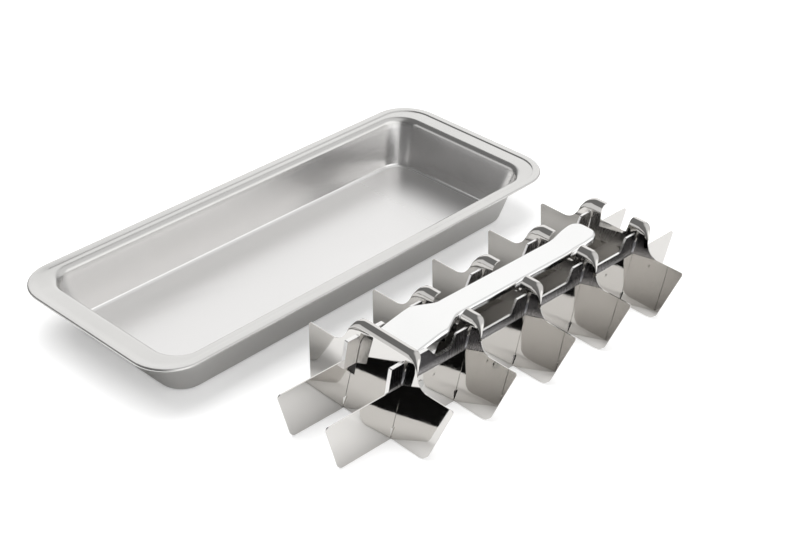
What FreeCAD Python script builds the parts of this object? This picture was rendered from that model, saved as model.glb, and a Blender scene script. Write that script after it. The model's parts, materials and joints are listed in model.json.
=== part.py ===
import FreeCAD, Part
import math
import os

from FreeCAD import Vector

# Lever ice cube tray: a pressed pan, and beside it the divider grid with its lever.
# Millimetres, +Z up. The origin is the middle of the pan's underside, on the table.
# +X runs along the grid towards the free end of the lever, and the grid lies on the -Y side.

os.makedirs("parts", exist_ok=True)

# Pan: a drawn rectangular dish with a hemmed rim
PAN_LENGTH = 282.0
PAN_WIDTH = 113.8
PAN_HEIGHT = 28.0
PAN_SHEET = 0.7
RIM_END_WIDTH = 14.4
RIM_SIDE_WIDTH = 9.1
RIM_CORNER = 21.6
MOUTH_CORNER = 13.5
WALL_DRAFT_END = 7.7
WALL_DRAFT_SIDE = 6.4
FLOOR_CORNER = 12.0
FLOOR_FILLET = 2.4
RIM_FILLET = 2.0
HEM_WIDTH = 4.4
HEM_THICK = 1.5
HEM_STEP = 0.5
HEM_EDGE = 0.6
PAN_TURN = 2.17

# Grid: where it stands beside the pan, and its five cross dividers
GRID_X = 16.6
GRID_Y = -118.2
PITCH = 41.6
DIVIDERS = 5
PLATE_SPACING = 31.06

# Long plates: two upright sheets with sloped ends
PLATE_SHEET = 0.6
PLATE_TOP_LENGTH = 248.3
PLATE_HEIGHT = 27.1
PLATE_END_SLOPE = 17.8
PLATE_TOP_CORNER = 1.6
PLATE_FOOT_CORNER = 4.0
WINDOW_LOW = 0.75
WINDOW_HIGH = 6.2
WINDOW_HALF = 0.62
WINDOW_GAP = 0.25
GUIDE_PIP = 1.8
GUIDE_PIP_REACH = 0.55
GUIDE_PIP_RECESS = 0.35
GUIDE_PIP_GAP = 0.1
GUIDE_BAY = 26.0
GUIDE_BAYS = (0, 3)

# Cross dividers: thin sheets that lean on a pivot near the foot
CROSS_SHEET = 0.6
CROSS_LEAN = 12.9
CROSS_UPRIGHT = -1.0
CROSS_PIVOT_Z = 1.2
CROSS_FOOT_GAP = 0.35
CROSS_FOOT_HALF = 37.6
CROSS_WING_HALF = 46.7
CROSS_WING_TOP = 30.1
CROSS_FOOT_CORNER = 4.5
CROSS_WING_CORNER = 1.2
HUMP_TOP = 45.4
HUMP_SHOULDER = 18.9
SHOULDER_LEAN = 24.2
SHOULDER_RADIUS = 6.0
SADDLE_RADIUS = 8.0
RECESS_HALF = 8.4
RECESS_FLOOR = 36.7
RECESS_CORNER = 0.9
HOOD_REACH = 4.2
HOOD_BEND = 4.4
HOOD_FADE = 0.55
CROSS_PLATE_GAP = 0.15
CROSS_SLIDER_GAP = 0.25
CROSS_WEB = 34.5
TOOTH_LOW = 1.0
TOOTH_HIGH = 5.5
SLOT_STEP_GAP = 0.8
NEAR_SLOT_STEP_GAP = 5.7

# Sliders: strips that run inside the long plates and carry the dividers over
SLIDER_SHEET = 1.2
SLIDER_NEAR_SHEET = 2.1
SLIDER_PLATE_GAP = 0.05
SLIDER_BOTTOM = 24.3
SLIDER_LOW_TOP = 31.4
SLIDER_TAB_TOP = 38.4
SLIDER_NOTCH_FLOOR = 33.3
SLIDER_HOOK_TOP = 35.4
NOTCH_START = 6.75
NOTCH_WIDTH = 1.75
HOOK_LENGTH = 1.7
HOOK_RUN = 1.2
TAB_LENGTH = 7.7
TAB_RUN = 3.3
NEAR_TAB_LENGTH = 7.6
NEAR_TAB_SLOPE = 2.0
NEAR_RAISED_END = 22.4
NEAR_RAISED_RUN = 5.9
NEAR_THICK_END = 38.0
SLIDER_CORNER = 0.6
SLIDER_TRAVEL = 8.1

# Lever: a pressed cover with side flanges, a narrow handle and two ears
LEVER_SHEET = 0.9
LEVER_HANDLE_HALF = 7.1
LEVER_TIP_HALF = 8.2
LEVER_NEAR_X = -70.5
LEVER_BASE_X = -44.5
LEVER_NECK_X = -33.5
LEVER_SPREAD_X = 51.0
LEVER_TIP_WIDE_X = 59.0
LEVER_TIP_X = 69.5
LEVER_NEAR_Z = 36.7
LEVER_RISE_X = -47.0
LEVER_TOP_Z = 41.2
LEVER_CURL_X = 48.0
LEVER_TIP_Z = 44.6
LEVER_FLANGE = 3.4
LEVER_EDGE = 1.7
LEVER_TIP_CORNER = 6.0
LEVER_OPEN = 62.0
PIVOT_X = -66.0
PIVOT_Z = 22.0
EAR_SHEET = 0.9
EAR_ROUND = 4.0
EAR_FAR_TOP = -50.5
EAR_FAR_LOW = -53.6
EAR_FAR_LOW_Z = 32.2
EAR_SLIDER_GAP = 0.25

# Shoulder rivets of the lever pivot, and the drive studs on the sliders
RIVET_DIA = 3.0
RIVET_BORE_GAP = 0.05
RIVET_COLLAR_DIA = 4.2
RIVET_HEAD_DIA = 4.6
RIVET_HEAD_THICK = 0.5
RIVET_TAIL_DIA = 5.0
STUD_DIA = 2.4
STUD_SLOT_GAP = 0.3
STUD_SEAT = 1.2
STUD_TAIL = 0.6

# Places worked out from the driving dimensions
CROSS_FIRST = CROSS_PIVOT_Z * math.tan(math.radians(CROSS_LEAN)) - PITCH * (DIVIDERS - 1) / 2.0
CROSS_X = [CROSS_FIRST + PITCH * i for i in range(DIVIDERS)]
PLATE_INNER = PLATE_SPACING / 2.0 - PLATE_SHEET / 2.0
PLATE_OUTER = PLATE_INNER + PLATE_SHEET
SLIDER_OUTER = PLATE_INNER - SLIDER_PLATE_GAP
SLIDER_INNER = SLIDER_OUTER - SLIDER_SHEET
SLIDER_NEAR_INNER = SLIDER_OUTER - SLIDER_NEAR_SHEET
EAR_OUTER = SLIDER_NEAR_INNER - EAR_SLIDER_GAP
EAR_INNER = EAR_OUTER - EAR_SHEET
STUD_SWING = LEVER_OPEN / 2.0
STUD_RADIUS = SLIDER_TRAVEL / 2.0 / math.sin(math.radians(STUD_SWING))
STUD_X = PIVOT_X + SLIDER_TRAVEL / 2.0
STUD_Z = PIVOT_Z + STUD_RADIUS * math.cos(math.radians(STUD_SWING))
TALL = 200.0


def tan(degrees):
    return math.tan(math.radians(degrees))


def outline(corners, place):
    """Closed face through corners (u, v, radius); place turns (u, v) into a point."""
    points = [place(u, v) for u, v, _ in corners]
    count = len(corners)
    starts, ends, mids = [], [], []
    for i, (_, _, radius) in enumerate(corners):
        here = points[i]
        back = (points[i - 1] - here).normalize()
        on = (points[(i + 1) % count] - here).normalize()
        if radius <= 0:
            starts.append(here)
            ends.append(here)
            mids.append(None)
            continue
        half = back.getAngle(on) / 2.0
        run = radius / math.tan(half)
        centre = here + (back + on).normalize() * (radius / math.sin(half))
        starts.append(here + back * run)
        ends.append(here + on * run)
        mids.append(centre + (here - centre).normalize() * radius)
    edges = []
    for i in range(count):
        if mids[i] is not None:
            edges.append(Part.Arc(starts[i], mids[i], ends[i]).toShape())
        following = starts[(i + 1) % count]
        if ends[i].distanceToPoint(following) > 1e-6:
            edges.append(Part.makeLine(ends[i], following))
    return Part.Face(Part.Wire(edges))


def side_plate(corners, y_low, y_high):
    """Solid with an outline in X and Z, from y_low to y_high."""
    face = outline(corners, lambda u, v: Vector(u, y_low, v))
    return face.extrude(Vector(0, y_high - y_low, 0))


def cross_plate(corners, x_low, x_high):
    """Solid with an outline in Y and Z, from x_low to x_high."""
    face = outline(corners, lambda u, v: Vector(x_low, u, v))
    return face.extrude(Vector(x_high - x_low, 0, 0))


def flat_plate(corners, z_low, z_high):
    """Solid with an outline in X and Y, from z_low to z_high."""
    face = outline(corners, lambda u, v: Vector(u, v, z_low))
    return face.extrude(Vector(0, 0, z_high - z_low))


def pin(diameter, x, z, y_low, y_high):
    """Round bar along Y between two heights of y."""
    return Part.makeCylinder(diameter / 2.0, y_high - y_low, Vector(x, y_low, z), Vector(0, 1, 0))


def block(x_low, x_high, y_low, y_high, z_low, z_high):
    size = Vector(x_high - x_low, y_high - y_low, z_high - z_low)
    return Part.makeBox(size.x, size.y, size.z, Vector(x_low, y_low, z_low))


def mirrored(shape):
    """The same piece on the other side of the grid's middle plane."""
    return shape.mirror(Vector(0, 0, 0), Vector(0, 1, 0))


def box_corners(length, width, radius):
    x, y = length / 2.0, width / 2.0
    return [(x, -y, radius), (x, y, radius), (-x, y, radius), (-x, -y, radius)]


def rounded_wire(length, width, radius, z):
    return outline(box_corners(length, width, radius), lambda u, v: Vector(u, v, z)).OuterWire


def dish(z_low, z_high, grow):
    """Tapered body of the pan's mouth and walls, each side moved out by grow."""
    def section(z):
        down = (PAN_HEIGHT - z) / PAN_HEIGHT
        length = PAN_LENGTH - 2 * (RIM_END_WIDTH + WALL_DRAFT_END * down - grow)
        width = PAN_WIDTH - 2 * (RIM_SIDE_WIDTH + WALL_DRAFT_SIDE * down - grow)
        corner = MOUTH_CORNER + (FLOOR_CORNER - MOUTH_CORNER) * down + grow
        return rounded_wire(length, width, corner, z)
    return Part.makeLoft([section(z_low), section(z_high)], True, True)


def edges_at(shape, z, tolerance=0.01):
    """Edges that lie wholly in the level plane at z."""
    found = []
    for edge in shape.Edges:
        bounds = edge.BoundBox
        if abs(bounds.ZMin - z) < tolerance and abs(bounds.ZMax - z) < tolerance:
            found.append(edge)
    return found


def pan():
    """The drawn pan: tapered walls, a flat rim and a raised hem round its edge."""
    rim_top = PAN_HEIGHT - HEM_STEP
    rim_low = rim_top - PAN_SHEET
    body = dish(0.0, rim_low, PAN_SHEET)
    body = body.makeFillet(FLOOR_FILLET + PAN_SHEET, edges_at(body, 0.0))
    rim = flat_plate(box_corners(PAN_LENGTH - 1, PAN_WIDTH - 1, RIM_CORNER - 0.5), rim_low, rim_top)
    hem = flat_plate(box_corners(PAN_LENGTH, PAN_WIDTH, RIM_CORNER), PAN_HEIGHT - HEM_THICK, PAN_HEIGHT)
    inner_length = PAN_LENGTH - 2 * HEM_WIDTH
    inner_width = PAN_WIDTH - 2 * HEM_WIDTH
    inner = box_corners(inner_length, inner_width, RIM_CORNER - HEM_WIDTH)
    hem = hem.cut(flat_plate(inner, 0.0, PAN_HEIGHT + 1))
    hem = hem.makeFillet(HEM_EDGE, hem_rim_edges(hem))
    cavity = dish(PAN_SHEET, PAN_HEIGHT + 1, 0.0)
    cavity = cavity.makeFillet(FLOOR_FILLET, edges_at(cavity, PAN_SHEET))
    shell = body.fuse([rim, hem]).cut(cavity).removeSplitter()
    mouth = [e for e in edges_at(shell, rim_top) if on_mouth(e)]
    shell = shell.makeFillet(RIM_FILLET, mouth)
    return shell


def hem_rim_edges(hem):
    """The hem's outer edges, above and below."""
    found = []
    for edge in edges_at(hem, PAN_HEIGHT) + edges_at(hem, PAN_HEIGHT - HEM_THICK):
        middle = edge.valueAt((edge.FirstParameter + edge.LastParameter) / 2.0)
        if outside_of(middle, PAN_LENGTH - HEM_WIDTH, PAN_WIDTH - HEM_WIDTH, RIM_CORNER - HEM_WIDTH / 2.0):
            found.append(edge)
    return found


def outside_of(point, length, width, radius):
    """True if a point lies outside a rounded rectangle round the origin."""
    x = max(abs(point.x) - (length / 2.0 - radius), 0.0)
    y = max(abs(point.y) - (width / 2.0 - radius), 0.0)
    return math.hypot(x, y) > radius


def on_mouth(edge):
    """True for an edge near the pan's mouth, inside the hem."""
    middle = edge.valueAt((edge.FirstParameter + edge.LastParameter) / 2.0)
    return not outside_of(middle, PAN_LENGTH - RIM_END_WIDTH, PAN_WIDTH - RIM_SIDE_WIDTH, RIM_CORNER - 5.0)


def long_plate():
    """The left long plate: sloped ends, foot windows and the pips that carry the slider."""
    half = PLATE_TOP_LENGTH / 2.0
    foot = half - PLATE_HEIGHT * tan(PLATE_END_SLOPE)
    corners = [
        (-foot, 0.0, PLATE_FOOT_CORNER),
        (foot, 0.0, PLATE_FOOT_CORNER),
        (half, PLATE_HEIGHT, PLATE_TOP_CORNER),
        (-half, PLATE_HEIGHT, PLATE_TOP_CORNER),
    ]
    plate = side_plate(corners, PLATE_INNER, PLATE_OUTER)
    plate = plate.cut([foot_window(x) for x in CROSS_X])
    for bay in GUIDE_BAYS:
        x, z = CROSS_X[bay] + GUIDE_BAY, SLIDER_BOTTOM - GUIDE_PIP_GAP - GUIDE_PIP / 2.0
        plate = plate.fuse(pin(GUIDE_PIP, x, z, PLATE_INNER - GUIDE_PIP_REACH, PLATE_INNER))
        plate = plate.cut(pin(GUIDE_PIP, x, z, PLATE_OUTER - GUIDE_PIP_RECESS, TALL))
    plate = plate.cut(pin(RIVET_DIA, PIVOT_X, PIVOT_Z, 0.0, TALL))
    return plate.removeSplitter()


def foot_window(x):
    """V-shaped window in a plate that a divider's foot rocks in."""
    half = CROSS_SHEET / 2.0 / math.cos(math.radians(CROSS_LEAN)) + WINDOW_GAP
    rise = WINDOW_HIGH - CROSS_PIVOT_Z
    corners = [
        (x - WINDOW_HALF, WINDOW_LOW, 0.0),
        (x + WINDOW_HALF, WINDOW_LOW, 0.0),
        (x + half + rise * tan(CROSS_LEAN), WINDOW_HIGH, 0.4),
        (x - half + rise * tan(CROSS_UPRIGHT), WINDOW_HIGH, 0.4),
    ]
    return side_plate(corners, 0.0, TALL)


def on_shoulder(inset):
    """Corner of the left half of a divider's hump, moved inwards by inset."""
    sideways = inset / math.cos(math.radians(SHOULDER_LEAN))
    return (HUMP_SHOULDER + inset * tan(SHOULDER_LEAN) - sideways, HUMP_TOP - inset, SHOULDER_RADIUS - inset)


def saddle_corner():
    """Corner between the hump's left shoulder and the top of the wing."""
    out = HUMP_SHOULDER + (HUMP_TOP - CROSS_WING_TOP) * tan(SHOULDER_LEAN)
    return (out, CROSS_WING_TOP, SADDLE_RADIUS)


def fade_point():
    """Point on the left shoulder where the lip has faded out."""
    half_turn = math.tan(math.radians(90.0 - SHOULDER_LEAN) / 2.0)
    upper = Vector(0, HUMP_SHOULDER, HUMP_TOP)
    lower = Vector(0, saddle_corner()[0], CROSS_WING_TOP)
    down = (lower - upper).normalize()
    first = upper + down * (SHOULDER_RADIUS * half_turn)
    last = lower - down * (SADDLE_RADIUS * half_turn)
    return first + (last - first) * HOOD_FADE


def divider_sheet(recessed):
    """The flat sheet of a cross divider, upright at x = 0, as far as the bend of its lip."""
    wing = (CROSS_WING_HALF, CROSS_WING_TOP, CROSS_WING_CORNER)
    foot = (CROSS_FOOT_HALF, CROSS_FOOT_GAP, CROSS_FOOT_CORNER)
    faded = fade_point()
    left = [foot, wing, saddle_corner(), (faded.y, faded.z, 0.0), on_shoulder(HOOD_BEND)]
    if recessed:
        left.append((RECESS_HALF + 0.5, HUMP_TOP - HOOD_BEND, RECESS_CORNER))
        left.append((RECESS_HALF, RECESS_FLOOR, RECESS_CORNER))
    right = [(-u, v, r) for u, v, r in reversed(left)]
    return cross_plate(left + right, -CROSS_SHEET / 2.0, CROSS_SHEET / 2.0)


def lip_section(edge, outwards, bend, reach):
    """Section of the lip where it meets the outline at edge: a quarter bend and a flat part."""
    def at(x, inset):
        return edge - outwards * inset + Vector(x, 0, 0)
    near, far = -CROSS_SHEET / 2.0, CROSS_SHEET / 2.0
    centre = near + bend
    hollow = bend - CROSS_SHEET
    mid = bend * (1 - math.sqrt(0.5))
    hollow_mid = bend - hollow * math.sqrt(0.5)
    edges = [
        Part.Arc(at(near, bend), at(near + mid, mid), at(centre, 0)).toShape(),
        Part.makeLine(at(centre, 0), at(reach, 0)),
        Part.makeLine(at(reach, 0), at(reach, CROSS_SHEET)),
        Part.makeLine(at(reach, CROSS_SHEET), at(centre, CROSS_SHEET)),
        Part.Arc(at(centre, CROSS_SHEET), at(near + hollow_mid, hollow_mid), at(far, bend)).toShape(),
        Part.makeLine(at(far, bend), at(near, bend)),
    ]
    return Part.Wire(edges)


def hood(recessed):
    """The lip that is bent back from a divider's hump and fades out down its shoulder."""
    start = RECESS_HALF + 0.5 if recessed else 0.0
    run = SHOULDER_RADIUS * math.tan(math.radians(90.0 - SHOULDER_LEAN) / 2.0)
    slope = Vector(0, math.sin(math.radians(SHOULDER_LEAN)), -math.cos(math.radians(SHOULDER_LEAN)))
    side = Vector(0, -slope.z, slope.y)
    corner = Vector(0, HUMP_SHOULDER, HUMP_TOP)
    reach = CROSS_SHEET / 2.0 + HOOD_REACH
    section = lip_section(Vector(0, start, HUMP_TOP), Vector(0, 0, 1), HOOD_BEND, reach)
    straight = Part.Face(section).extrude(Vector(0, HUMP_SHOULDER - run - start, 0))
    section = lip_section(Vector(0, HUMP_SHOULDER - run, HUMP_TOP), Vector(0, 0, 1), HOOD_BEND, reach)
    centre = Vector(0, HUMP_SHOULDER - run, HUMP_TOP - SHOULDER_RADIUS)
    turned = Part.Face(section).revolve(centre, Vector(-1, 0, 0), 90.0 - SHOULDER_LEAN)
    wide = lip_section(corner + slope * run, side, HOOD_BEND, reach)
    thin = lip_section(fade_point(), side, CROSS_SHEET + 0.02, CROSS_SHEET / 2.0 + 0.05)
    faded = Part.makeLoft([wide, thin], True, True)
    return straight.fuse([turned, faded])


def divider_slots(near):
    """Openings for a long plate and, higher up, the slider; a tooth is left between them."""
    inner = SLIDER_NEAR_INNER if near else SLIDER_INNER
    near_edge, far_edge = PLATE_INNER - CROSS_PLATE_GAP, PLATE_OUTER + CROSS_PLATE_GAP
    foot = block(-1, 1, near_edge, far_edge, -1, TOOTH_LOW)
    narrow = block(-1, 1, near_edge, far_edge, TOOTH_HIGH, CROSS_WEB)
    step = SLIDER_BOTTOM - (NEAR_SLOT_STEP_GAP if near else SLOT_STEP_GAP)
    wide = block(-1, 1, inner - CROSS_SLIDER_GAP, far_edge, step, CROSS_WEB)
    return [foot, narrow.fuse(wide)]


def cross_divider(index):
    """One cross divider, leaning at rest; the nearest one has no recess for the lever."""
    near = index == 0
    lip = hood(not near)
    slots = divider_slots(near)
    sheet = divider_sheet(not near).fuse([lip, mirrored(lip)])
    sheet = sheet.cut(slots + [mirrored(slot) for slot in slots]).removeSplitter()
    sheet.rotate(Vector(0, 0, CROSS_PIVOT_Z), Vector(0, 1, 0), CROSS_LEAN)
    sheet.translate(Vector(CROSS_X[index], 0, 0))
    return sheet


def slider_profile():
    """Top edge of a slider: a raised tab, a notch and a hook at every divider."""
    corners = [(CROSS_X[0] + NOTCH_START - NEAR_TAB_LENGTH - NEAR_TAB_SLOPE, SLIDER_BOTTOM, 0.0)]
    corners.append((CROSS_X[0] + NOTCH_START - NEAR_TAB_LENGTH, SLIDER_TAB_TOP, SLIDER_CORNER))
    for index, x in enumerate(CROSS_X):
        if index > 0:
            slope_top = x + NOTCH_START - TAB_LENGTH
            corners.append((slope_top - TAB_RUN, SLIDER_LOW_TOP, SLIDER_CORNER))
            corners.append((slope_top, SLIDER_TAB_TOP, SLIDER_CORNER))
        corners.append((x + NOTCH_START, SLIDER_TAB_TOP, 0.2))
        corners.append((x + NOTCH_START, SLIDER_NOTCH_FLOOR, 0.0))
        corners.append((x + NOTCH_START + NOTCH_WIDTH, SLIDER_NOTCH_FLOOR, 0.0))
        hook = x + NOTCH_START + NOTCH_WIDTH
        if index == 0:
            lean = (SLIDER_TAB_TOP - SLIDER_HOOK_TOP) * tan(CROSS_LEAN) * 2.0
            corners.append((hook, SLIDER_HOOK_TOP, 0.0))
            corners.append((hook + lean, SLIDER_TAB_TOP, SLIDER_CORNER))
            corners.append((x + NEAR_RAISED_END, SLIDER_TAB_TOP, SLIDER_CORNER))
            corners.append((x + NEAR_RAISED_END + NEAR_RAISED_RUN, SLIDER_LOW_TOP, SLIDER_CORNER))
        else:
            corners.append((hook, SLIDER_HOOK_TOP, 0.3))
            corners.append((hook + HOOK_LENGTH, SLIDER_HOOK_TOP, SLIDER_CORNER))
            corners.append((hook + HOOK_LENGTH + HOOK_RUN, SLIDER_LOW_TOP, 0.0))
    corners[-1] = (corners[-1][0], SLIDER_BOTTOM, SLIDER_CORNER)
    return corners


def slider():
    """The left slider, with its doubled near end and the seat of the drive stud."""
    profile = slider_profile()
    strip = side_plate(profile, SLIDER_INNER, SLIDER_OUTER)
    doubled = side_plate(profile, SLIDER_NEAR_INNER, SLIDER_OUTER)
    far = CROSS_X[0] + NEAR_THICK_END
    doubled = doubled.common(block(-TALL, far, 0, TALL, 0, TALL))
    strip = strip.fuse(doubled).removeSplitter()
    return strip.cut(pin(STUD_DIA, STUD_X, STUD_Z, SLIDER_NEAR_INNER - 1, SLIDER_NEAR_INNER + STUD_SEAT))


def drive_stud():
    """Stud staked into the left slider, which reaches through the lever's ear."""
    low = EAR_INNER - STUD_TAIL
    return pin(STUD_DIA, STUD_X, STUD_Z, low, SLIDER_NEAR_INNER + STUD_SEAT)


def pivot_rivet():
    """Shoulder rivet on the left: head outside the plate, collar, shank and tail."""
    shank = pin(RIVET_DIA, PIVOT_X, PIVOT_Z, EAR_INNER - RIVET_HEAD_THICK, PLATE_OUTER)
    head = pin(RIVET_HEAD_DIA, PIVOT_X, PIVOT_Z, PLATE_OUTER, PLATE_OUTER + RIVET_HEAD_THICK)
    collar = pin(RIVET_COLLAR_DIA, PIVOT_X, PIVOT_Z, EAR_OUTER + 0.1, PLATE_INNER)
    tail = pin(RIVET_TAIL_DIA, PIVOT_X, PIVOT_Z, EAR_INNER - 0.1 - RIVET_HEAD_THICK, EAR_INNER - 0.1)
    return shank.fuse([head, collar, tail]).removeSplitter()


def lever_plan(inset):
    """Plan of the lever as seen from above, each side moved in by inset."""
    base, handle, tip = (h - inset for h in (EAR_OUTER, LEVER_HANDLE_HALF, LEVER_TIP_HALF))
    left = [
        (LEVER_NEAR_X + inset, base, 2.0),
        (LEVER_BASE_X, base, 6.0 - inset),
        (LEVER_NECK_X, handle, 6.0 + inset),
        (LEVER_SPREAD_X, handle, 12.0),
        (LEVER_TIP_WIDE_X, tip, 12.0),
        (LEVER_TIP_X - inset, tip, LEVER_TIP_CORNER - inset),
    ]
    return left + [(x, -y, r) for x, y, r in reversed(left)]


def lever_side(drop, depth):
    """Side view of the pressed sheet: sloped base, level handle and raised tip."""
    top = [
        (LEVER_NEAR_X - 5, LEVER_NEAR_Z - 5 * lever_slope() - drop, 0.0),
        (LEVER_RISE_X, LEVER_TOP_Z - drop, 40.0),
        (LEVER_CURL_X, LEVER_TOP_Z - drop, 40.0),
        (LEVER_TIP_X + 5, LEVER_TIP_Z + 5 * tip_slope() - drop, 0.0),
    ]
    low = [(x, z - depth, r) for x, z, r in reversed(top)]
    return top + low


def lever_slope():
    return (LEVER_TOP_Z - LEVER_NEAR_Z) / (LEVER_RISE_X - LEVER_NEAR_X)


def tip_slope():
    return (LEVER_TIP_Z - LEVER_TOP_Z) / (LEVER_TIP_X - LEVER_CURL_X)


def lever_block(inset, drop, depth, edge):
    """Solid between the lever's plan and side view, with its top edge rounded."""
    tall = flat_plate(lever_plan(inset), 0.0, TALL)
    side = side_plate(lever_side(drop, depth), -TALL, TALL)
    solid = tall.common(side)
    top = []
    for face in solid.Faces:
        normal = face.normalAt(*[sum(face.ParameterRange[i:i + 2]) / 2.0 for i in (0, 2)])
        if normal.z > 0.5:
            top.append(face)
    rim = [e for e in solid.Edges if shared_once(e, top)]
    return solid.makeFillet(edge, rim)


def shared_once(edge, faces):
    """True for an edge that bounds exactly one of the faces."""
    return sum(1 for face in faces if any(edge.isSame(other) for other in face.Edges)) == 1


def ear():
    """The left ear: it hangs from the lever's flange to the pivot and holds the stud's slot."""
    top = LEVER_TOP_Z - LEVER_FLANGE
    corners = [
        (PIVOT_X - EAR_ROUND, PIVOT_Z - EAR_ROUND, EAR_ROUND - 0.1),
        (PIVOT_X + EAR_ROUND + 1.0, PIVOT_Z - EAR_ROUND, EAR_ROUND),
        (EAR_FAR_LOW, EAR_FAR_LOW_Z, 4.0),
        (EAR_FAR_TOP, top + 1.0, 0.0),
        (LEVER_NEAR_X + 2.0, LEVER_NEAR_Z - 2.0, 0.0),
        (LEVER_NEAR_X + 1.0, PIVOT_Z + 10.0, 1.0),
        (PIVOT_X - EAR_ROUND, PIVOT_Z + 4.0, 1.0),
    ]
    plate = side_plate(corners, EAR_INNER, EAR_OUTER)
    plate = plate.cut(pin(RIVET_DIA + 2 * RIVET_BORE_GAP, PIVOT_X, PIVOT_Z, 0, TALL))
    return plate.cut(stud_slot())


def stud_slot():
    """Slot in the ear, along the line from the pivot, that the stud rides in."""
    width = STUD_DIA + 2 * STUD_SLOT_GAP
    near = STUD_RADIUS * math.cos(math.radians(STUD_SWING)) - STUD_SLOT_GAP
    far = STUD_RADIUS + STUD_SLOT_GAP
    slot = block(-width / 2.0, width / 2.0, 0, TALL, near, far)
    slot = slot.fuse([pin(width, 0, near, 0, TALL), pin(width, 0, far, 0, TALL)])
    slot.rotate(Vector(0, 0, 0), Vector(0, 1, 0), STUD_SWING)
    slot.translate(Vector(PIVOT_X, 0, PIVOT_Z))
    return slot


def lever():
    """The pressed lever: hollow underneath, with rolled edges and two ears."""
    outside = lever_block(0.0, 0.0, LEVER_FLANGE, LEVER_EDGE)
    inside = lever_block(LEVER_SHEET, LEVER_SHEET, LEVER_FLANGE + 2.0, LEVER_EDGE - LEVER_SHEET)
    shell = outside.cut(inside)
    left = ear()
    return shell.fuse([left, mirrored(left)]).removeSplitter()


def placed(shape):
    """A piece of the grid, moved to where the grid stands."""
    shape.translate(Vector(GRID_X, GRID_Y, 0))
    return shape


def save(name, shape):
    shape.exportStep("parts/%s.step" % name)


def turned_pan():
    shape = pan()
    shape.rotate(Vector(0, 0, 0), Vector(0, 0, 1), PAN_TURN)
    return shape


def main():
    save("pan", turned_pan())
    sides = (("left", lambda s: s), ("right", mirrored))
    for name, side in sides:
        save("divider_plate_" + name, placed(side(long_plate())))
        save("slider_" + name, placed(side(slider())))
        save("drive_stud_" + name, placed(side(drive_stud())))
    rivets = [pivot_rivet(), mirrored(pivot_rivet())]
    save("pivot_rivets", placed(Part.Compound(rivets)))
    for index in range(DIVIDERS):
        save("cross_divider_%d" % (index + 1), placed(cross_divider(index)))
    save("lever", placed(lever()))


main()
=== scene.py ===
import json
import math
from collections import namedtuple

import bmesh
import bpy
import numpy as np
from bpy.props import FloatProperty, FloatVectorProperty, PointerProperty
from mathutils import Matrix, Vector

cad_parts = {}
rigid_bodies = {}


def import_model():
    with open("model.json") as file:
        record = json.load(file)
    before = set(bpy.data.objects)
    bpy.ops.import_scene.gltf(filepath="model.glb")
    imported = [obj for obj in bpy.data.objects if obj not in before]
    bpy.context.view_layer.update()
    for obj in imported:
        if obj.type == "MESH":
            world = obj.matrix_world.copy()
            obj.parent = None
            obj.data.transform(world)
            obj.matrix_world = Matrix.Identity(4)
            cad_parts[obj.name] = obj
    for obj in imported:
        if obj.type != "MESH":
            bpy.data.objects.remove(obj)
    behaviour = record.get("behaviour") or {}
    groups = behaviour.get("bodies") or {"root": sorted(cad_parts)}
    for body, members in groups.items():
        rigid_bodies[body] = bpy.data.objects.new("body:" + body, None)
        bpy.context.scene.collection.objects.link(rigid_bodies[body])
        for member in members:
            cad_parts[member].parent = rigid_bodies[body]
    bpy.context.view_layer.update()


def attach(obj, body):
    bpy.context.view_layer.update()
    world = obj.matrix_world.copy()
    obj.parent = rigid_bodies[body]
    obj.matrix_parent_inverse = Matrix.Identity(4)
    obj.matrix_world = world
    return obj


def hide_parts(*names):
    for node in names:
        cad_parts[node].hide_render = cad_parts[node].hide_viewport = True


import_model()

bl_info = {
    "name": "Lever ice cube tray",
    "version": (1, 0, 0),
    "blender": (4, 5, 0),
    "location": "View3D > Sidebar > Ice tray",
    "description": "Builds the shown surfaces of the tray, gives each piece its finish and sets the studio",
    "category": "Object",
}

MM = 0.001
DIVIDERS = 5

# Mesh steps round a bend of the pan, its rolled hem, its corners, and a divider's outline, foot and lip
BEND_STEPS = 9
ROLL_STEPS = 13
CORNER_STEPS = 14
OUTLINE_STEPS = 14
FOOT_STEPS = 10
LIP_STEPS = 14

# Rows of the pan down a wall between its bends, over the hem's flat, down the hem's step and on the rim
WALL_ROWS = 6
FLAT_ROWS = 3
STEP_ROWS = 7
RIM_ROWS = 2

# Degrees between two faces past which their edge looks crisp, and past which an edge is eased
PAN_CRISP = 60.0
DIVIDER_CRISP = 30.0
EASED_FROM = 50.0

# Metres within which points are one point, an edge has no length, and a lip has no roll
ONE_POINT = 1e-6
NO_LENGTH = 1e-7
NO_ROLL = 1e-7

# Rows of a divider between those that its slots need, as heights in millimetres, and rows above its web
ROWS_BETWEEN = (3.2, 10.0, 14.5, 27.5, 31.0)
ROWS_ABOVE = 3

# Columns through the lever's recess: millimetres in from its side, and the rise of its floor there
RECESS_COLUMNS = ((8.4, 0.0), (5.6, 0.0), (2.8, 0.0), (0.8, 0.0), (0.2, 0.25), (0.0, 0.9))

# Columns of the nearest divider, which has no recess, and one more beside the slots of every divider
PLAIN_COLUMNS = (0.0, 3.0, 6.0)
EXTRA_COLUMN = 10.8

# Millimetres from the recess to the lip, and from the plate's slot to the next column
LIP_GAP = 0.5
SLOT_GAP = 0.2

# Longest stretch of outline in millimetres that gets no more columns, and how many a longer one gets
LONG_STRETCH = 4.0
STRETCH_COLUMNS = 3

# How much a column's rise or fall counts against its way across, where the feet are shared out
RISE_WEIGHT = 0.1

# Where the lip dies away: from this share of the shoulder's bend to so many millimetres past the bend
FADE_FROM = 0.3
FADE_PAST = 4.0

# Width in millimetres of the eased edges of the dividers
EASED_EDGE = 0.1

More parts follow.
